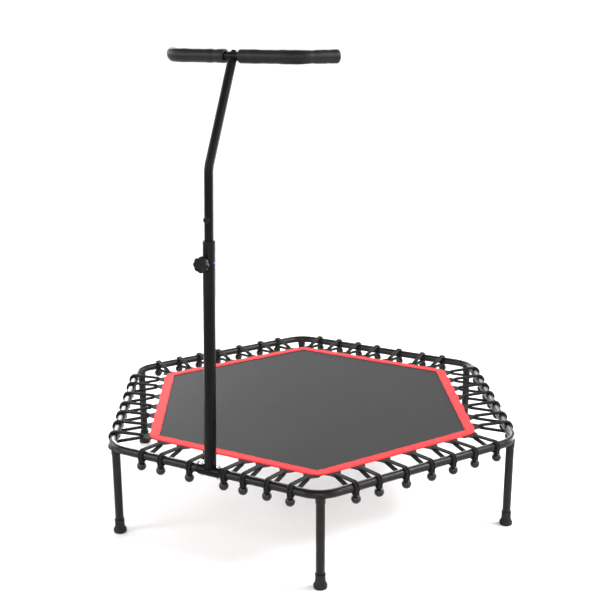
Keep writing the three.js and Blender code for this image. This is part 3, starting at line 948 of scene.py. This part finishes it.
def makeFasteners():
    crown = lowerPost["saddleOuter"] + 0.0003
    bolt = turned("bolt", [(0.0015, -crown - 0.0040), (0.0034, -crown - 0.0036), (0.0052, -crown - 0.0024),
                           (0.0062, -crown - 0.0006), (0.0062, -crown), (0.0030, -crown),
                           (0.0030, crown + 0.0095), (0.0024, crown + 0.0101)], 28)
    threads = []
    for i in range(9):
        level = crown + 0.0008 + 0.0010 * i
        loop = [(0.0030 * math.cos(a), 0.0030 * math.sin(a), level) for a in
                (2 * math.pi * k / 20 for k in range(20))]
        threads.append(strand("thread", loop, 0.00032, closed=True, sides=4))
    bolt = joined("bolt", [bolt] + threads)
    washer = sleeve("washer", [(0.0062, crown), (0.0064, crown + 0.0002), (0.0064, crown + 0.0013),
                               (0.0062, crown + 0.0015), (0.0035, crown + 0.0015), (0.0034, crown)], 32)
    nutLow = crown + 0.0018
    deselectAll()
    bpy.ops.mesh.primitive_cylinder_add(vertices=6, radius=0.0057, depth=0.0055,
                                        location=(0, 0, nutLow + 0.00275))
    nut = bpy.context.object
    bpy.ops.object.transform_apply(location=True, rotation=True, scale=True)
    drilled(nut, [drill(0.0034, 0.02, (0, 0, nutLow - 0.005), (0, 0, 1))])
    roundEdges(nut, 0.0006, 2, 50)
    for piece in (bolt, washer, nut):
        smooth(piece, 35)
    for side, x, nutTurn in (("left", boltPlaces[0], 0.1), ("right", boltPlaces[1], 0.5)):
        at = postPlace @ Matrix.Translation((x, 0, 0))
        settle(copyOf(bolt, "clamp_stud_" + side, at), "zinc", "frame", ["clamp_bolt_" + side])
        settle(copyOf(washer, "flat_washer_" + side, at), "zinc", "frame", ["clamp_washer_" + side])
        settle(copyOf(nut, "hex_nut_" + side, at @ Matrix.Rotation(nutTurn, 4, "Z")),
               "zinc", "frame", ["clamp_nut_" + side])
    for spare in (bolt, washer, nut):
        bpy.data.objects.remove(spare)


def makeBushing():
    top = lowerPost["top"]
    liner = sleeve("liner", [(0.0131, top - 0.036), (0.0131, top + 0.0003), (0.0149, top + 0.0003),
                             (0.0152, top + 0.0008), (0.0152, top + 0.0019), (0.0145, top + 0.0026),
                             (0.0120, top + 0.0026), (0.0115, top + 0.0021), (0.0115, top - 0.036)], 56)
    nub = turned("nub", [(0.0024, 0.0122), (0.0024, 0.0151), (0.0019, 0.0156), (0.0010, 0.0158)], 20)
    place(nub, Matrix.Rotation(math.radians(-23), 4, "Z") @ outOfPost(top - 0.009))
    bushing = joined("guide_bushing", [liner, nub])
    place(bushing, postPlace)
    smooth(bushing, 35)
    settle(bushing, "plastic", "frame", ["post_bushing"])


mark = {"from": -12, "to": 34, "rise": 0.0030, "width": 0.0013}  # from and to are degrees round the post


# a dab of blue marking paint on the post, level with the knob
def makePaintMark():
    radius = post["lowerRadius"]
    points = []
    for i in range(9):
        share = i / 8
        angle = math.radians(mark["from"] + (mark["to"] - mark["from"]) * share)
        points.append(((radius + 0.0001) * math.cos(angle), (radius + 0.0001) * math.sin(angle),
                       post["knobAt"] + mark["rise"] * share))
    dab = strand("blue_mark", points, mark["width"], sides=8)
    # pressed flat against the post
    for point in dab.data.vertices:
        flat = Vector((point.co.x, point.co.y, 0))
        pressed = flat.normalized() * (radius + 0.0002 + (flat.length - radius) * 0.25)
        point.co.x, point.co.y = pressed.x, pressed.y
    place(dab, postPlace)
    smooth(dab, 60)
    settle(dab, "blue", "frame")


makeLowerPost()
makeFasteners()
makeBushing()
makePaintMark()
print("stage 5: lower post and clamp")


# ---- handle: knob ----

knob = {"radius": 0.0200, "thick": 0.0125, "lobes": 8, "backOff": 0.005}


def makeKnob():
    bossFace = post["lowerRadius"] + lowerPost["bossLength"]
    washerFace = bossFace + knob["backOff"] + 0.0003
    washer = sleeve("knob_ring", [(0.0088, washerFace), (0.0090, washerFace + 0.0003),
                                  (0.0090, washerFace + 0.0012), (0.0088, washerFace + 0.0015),
                                  (0.0046, washerFace + 0.0015), (0.0045, washerFace)], 36)
    turn = outOfPost(post["knobAt"])
    place(washer, postPlace @ turn)
    smooth(washer, 35)
    settle(washer, "zinc", "knob_carrier", ["knob_washer"])

    face = washerFace + 0.0018
    sides = knob["lobes"] * 8
    rim, front = knob["radius"], face + knob["thick"]
    head = turned("head", [(rim * 0.62, face), (rim - 0.0006, face + 0.0006), (rim, face + 0.002),
                           (rim, front - 0.0028), (rim - 0.0012, front - 0.0006), (rim - 0.0032, front),
                           (rim - 0.0052, front - 0.0004), (rim - 0.0062, front - 0.0016),
                           (0.0050, front - 0.0016), (0.0044, front - 0.0008), (0.0020, front - 0.0007)],
                  sides)
    for point in head.data.vertices:
        flat = Vector((point.co.x, point.co.y, 0))
        reach = max(0.0, flat.length / knob["radius"] - 0.55) / 0.45
        wave = 0.5 - 0.5 * math.cos(knob["lobes"] * math.atan2(point.co.y, point.co.x))
        shrink = 1 - 0.105 * reach * wave ** 1.6
        point.co.x *= shrink
        point.co.y *= shrink
    stud = turned("stud", [(0.0034, post["upperRadius"] + 0.0004), (0.0040, post["upperRadius"] + 0.0010),
                           (0.0040, face + 0.002)], 24)
    whole = joined("star_knob", [head, stud])
    place(whole, postPlace @ turn)
    smooth(whole, 40)
    settle(whole, "plastic", "knob", ["height_knob"])


makeKnob()
print("stage 6: knob")


# ---- handle: upper post, bar and grips ----

upperPost = {"wall": 0.0015, "foot": 0.386, "bendAt": 0.751, "bend": math.radians(23.2), "bendRadius": 0.060,
             "reach": 0.273, "holePitch": 0.041, "holeSteps": (-3, -2, -1, 0, 1), "holeRadius": 0.0048,
             "stopAt": 0.629, "stopRadius": 0.0082}
bar = {"radius": 0.011, "wall": 0.0015, "straight": 0.145, "bendRadius": 0.050, "turn": math.radians(57),
       "end": 0.078}
grip = {"radius": 0.0162, "bore": 0.0116, "start": 0.020}
barMiddle = Vector((0, upperPost["reach"] * math.sin(upperPost["bend"]),
                    upperPost["bendAt"] + upperPost["reach"] * math.cos(upperPost["bend"])))
barPlace = postPlace @ Matrix.Translation(barMiddle) @ Matrix.Rotation(post["lean"], 4, "X")


def makeUpperPost():
    tangent = upperPost["bendRadius"] * math.tan(upperPost["bend"] / 2)
    low = Vector((0, 0, upperPost["foot"]))
    route = [upperPost["bendAt"] - upperPost["foot"] - tangent,
             ((0, 1, 0), upperPost["bendRadius"], upperPost["bend"]), upperPost["reach"] - tangent - 0.003]
    pipe = tube("pipe", low, (0, 0, 1), route, post["upperRadius"], upperPost["wall"], 48)
    heights = [post["knobAt"] + step * upperPost["holePitch"] for step in upperPost["holeSteps"]]
    holes = [drill(upperPost["holeRadius"], 0.02, (0, 0, z)) for z in heights + [upperPost["stopAt"]]]
    saddleCut = drill(bar["radius"] + 0.0003, 0.08, barMiddle - Vector((0.04, 0, 0)), (1, 0, 0))
    drilled(pipe, holes + [saddleCut])
    roundEdges(pipe, 0.0003, 1, 50)
    pipe.name = "sliding_post"
    place(pipe, postPlace)
    smooth(pipe, 38)
    settle(pipe, "post", "handle", ["upper_post"])

    face = post["upperRadius"] - 0.0008
    rim = upperPost["stopRadius"]
    button = turned("height_stop", [(0.0044, 0.005), (0.0044, face), (rim - 0.0004, face),
                                    (rim, face + 0.0006), (rim, face + 0.0018), (rim - 0.0012, face + 0.0031),
                                    (rim - 0.0032, face + 0.0036), (0.0034, face + 0.0035),
                                    (0.0026, face + 0.0028), (0.0022, face + 0.0010),
                                    (0.0012, face + 0.0008)])
    place(button, postPlace @ outOfPost(upperPost["stopAt"]))
    smooth(button, 38)
    settle(button, "plastic", "handle", ["post_stop"])


# the middle of the bar's bend on one side, where the bend ends, and the heading from there
def barBend(sign):
    heading = Vector((sign * math.cos(bar["turn"]), math.sin(bar["turn"]), 0))
    centre = Vector((sign * bar["straight"], bar["bendRadius"], 0))
    end = centre + Vector((sign * math.sin(bar["turn"]), -math.cos(bar["turn"]), 0)) * bar["bendRadius"]
    return centre, end, heading


def makeBar():
    route = [bar["straight"], ((0, 1, 0), bar["bendRadius"], bar["turn"]), bar["end"]]
    parts = []
    for sign in (-1, 1):
        parts.append(tube("bar", (0, 0, 0), (sign, 0, 0), route, bar["radius"], 0, 44))
    whole = joined("handle_tube", parts)
    outward(whole)
    applyModifier(whole, "SOLIDIFY", thickness=bar["wall"], offset=-1)
    roundEdges(whole, 0.0003, 1, 60)
    place(whole, barPlace)
    smooth(whole, 40)
    settle(whole, "post", "handle", ["handlebar"])

    boltLean = Matrix.Rotation(-(upperPost["bend"] + post["lean"]), 4, "X")
    seat = bar["radius"] - 0.0006
    bolt = turned("bar_screw", [(0.0030, -seat - 0.022), (0.0030, seat), (0.0072, seat),
                                (0.0074, seat + 0.0006), (0.0070, seat + 0.0022), (0.0058, seat + 0.0034),
                                (0.0042, seat + 0.0040), (0.0030, seat + 0.0042), (0.0026, seat + 0.0026),
                                (0.0012, seat + 0.0025)], 36)
    place(bolt, barPlace @ boltLean)
    smooth(bolt, 38)
    settle(bolt, "plastic", "handle", ["bar_bolt"])


# how much the foam is pinched or swollen at a distance along the grip from its inner end
def gripSwell(side, along):
    swell = 0.00035 * math.sin(along * 60) + 0.0002 * math.sin(along * 170 + 1)
    pinches = {"right": [(0.185, 0.0011), (0.228, 0.0010)], "left": [(0.030, 0.0012), (0.165, 0.0006)]}[side]
    for at, depth in pinches:
        swell -= depth * math.exp(-((along - at) / 0.008) ** 2)
    return swell


def makeGrips():
    for side, sign in (("left", -1), ("right", 1)):
        straight = bar["straight"] - grip["start"]
        route = [straight / 24] * 24 + [((0, 1, 0), bar["bendRadius"], bar["turn"])] + [bar["end"] / 15] * 15
        foam = tube("foam", (sign * grip["start"], 0, 0), (sign, 0, 0), route, grip["radius"], 0, 48, 12)
        shapeFoam(foam, side, sign)
        applyModifier(foam, "SOLIDIFY", thickness=grip["radius"] - grip["bore"], offset=-1)
        roundEdges(foam, 0.0016, 3, 50)
        place(foam, barPlace)
        foam.name = "foam_grip_" + side
        smooth(foam, 45)
        settle(foam, "foam", "handle", ["grip_" + side])
        makeEndPlug(side, sign)


# pinches and swells the foam round its centreline
def shapeFoam(foam, side, sign):
    bendStart = bar["straight"]
    arc = bar["bendRadius"] * bar["turn"]
    centre, bendEnd, tipHeading = barBend(sign)
    for point in foam.data.vertices:
        x = point.co.x * sign
        beyond = (point.co - bendEnd).dot(tipHeading)
        if x <= bendStart:
            middle, along = Vector((sign * x, 0, 0)), x - grip["start"]
        elif beyond >= 0:
            middle = bendEnd + tipHeading * beyond
            along = bendStart - grip["start"] + arc + beyond
        else:
            flat = Vector((point.co.x - centre.x, point.co.y - centre.y, 0))
            middle = centre + flat.normalized() * bar["bendRadius"]
            angle = math.atan2(abs(middle.x - centre.x), centre.y - middle.y)
            along = bendStart - grip["start"] + angle * bar["bendRadius"]
        spoke = point.co - middle
        point.co = middle + spoke * (1 + gripSwell(side, along) / grip["radius"])


def makeEndPlug(side, sign):
    _, bendEnd, heading = barBend(sign)
    tip = bendEnd + heading * bar["end"]
    plug = turned("plug", [(0.0085, -0.016), (0.0088, -0.015), (0.0088, 0.0003), (0.0106, 0.0003),
                           (0.0109, 0.0008), (0.0107, 0.0017), (0.0096, 0.0022), (0.0060, 0.0023),
                           (0.0052, 0.0019), (0.0020, 0.0018)], 36)
    facing = heading.to_track_quat("Z", "Y").to_matrix().to_4x4()
    place(plug, barPlace @ Matrix.Translation(tip) @ facing)
    plug.name = "tube_plug_" + side
    smooth(plug, 38)
    settle(plug, "plastic", "handle", ["end_plug_" + side])


makeUpperPost()
makeBar()
makeGrips()
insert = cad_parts["stem_insert"]
insert.data.materials.clear()
insert.data.materials.append(finishes["zinc"])
print("stage 7: upper post, bar and grips")


# ---- studio ----

studio = {
    "camera": (1.2956, -2.4918, 1.3348),
    "aim": (-0.0231, -0.0123, 0.5552),
    "roll": math.radians(-0.165),
    "lens": 61.49,
    "world": 0.36,
    "floorRings": ((6, 0), (20, 0), (45, 0), (60, 4), (66, 12)),  # reach and rise; its far rim turns up
    "ringCount": 6,  # low soft suns all round keep the floor pale under the mat
    "ringHeight": 18,  # in degrees
    "ringPower": 1.7,
}
lamps = [
    # name, place, aim, size, power
    ("right", (2.05, 0.62, 2.35), (0.2, -0.3, 0.25), 0.7, 60),
    ("left", (-2.04, -2.18, 2.05), (-0.2, -0.5, 0.25), 0.7, 20),
    ("low_back", (1.45, 2.05, 0.48), (0, -0.5, 0.9), 1.3, 48),
    ("low_left", (-1.9, 1.3, 0.9), (-0.1, -0.5, 1.1), 1.0, 40),
]


def makeStudio():
    scene = bpy.context.scene
    world = bpy.data.worlds.new("studio")
    scene.world = world
    world.use_nodes = True
    world.node_tree.nodes["Background"].inputs["Color"].default_value = (1, 1, 1, 1)
    world.node_tree.nodes["Background"].inputs["Strength"].default_value = studio["world"]
    scene.view_settings.view_transform = "Standard"

    deselectAll()
    bpy.ops.mesh.primitive_circle_add(vertices=48, radius=2, fill_type="NGON")
    floor = bpy.context.object
    floor.name = "floor"
    editAll(floor)
    bpy.ops.mesh.inset(thickness=0.5)
    leaveEdit()
    editPoints(floor, lambda at: at.length > 1.9)
    for reach, rise in studio["floorRings"]:
        size = max(v.co.xy.length for v in floor.data.vertices)
        bpy.ops.mesh.extrude_edges_move(TRANSFORM_OT_translate={"value": (0, 0, rise)})
        bpy.ops.transform.resize(value=(reach / size, reach / size, 1), center_override=(0, 0, 0))
        floor.update_from_editmode()
    leaveEdit()
    smooth(floor, 60)
    floor.data.materials.append(finishes["floor"])

    for i in range(studio["ringCount"]):
        light = bpy.data.lights.new("ring", "SUN")
        light.energy = studio["ringPower"]
        light.angle = math.radians(30)
        lamp = bpy.data.objects.new("ring", light)
        around = 360 / studio["ringCount"] * i + 28
        lamp.rotation_euler = (math.radians(90 - studio["ringHeight"]), 0, math.radians(around))
        scene.collection.objects.link(lamp)
    for name, at, aim, size, power in lamps:
        light = bpy.data.lights.new(name, "AREA")
        light.shape = "DISK"
        light.size = size
        light.energy = power
        lamp = bpy.data.objects.new(name, light)
        lamp.location = at
        lamp.rotation_euler = (Vector(aim) - Vector(at)).to_track_quat("-Z", "Y").to_euler()
        lamp.visible_camera = False
        scene.collection.objects.link(lamp)

    lens = bpy.data.cameras.new("camera")
    lens.lens = studio["lens"]
    lens.sensor_width = 36
    lens.clip_start = 0.05
    camera = bpy.data.objects.new("camera", lens)
    sight = Vector(studio["aim"]) - Vector(studio["camera"])
    turn = sight.to_track_quat("-Z", "Y").to_matrix().to_4x4()
    roll = Matrix.Rotation(studio["roll"], 4, "Z")
    camera.matrix_world = Matrix.Translation(studio["camera"]) @ turn @ roll
    scene.collection.objects.link(camera)
    scene.camera = camera


makeStudio()
print("stage 8: studio")
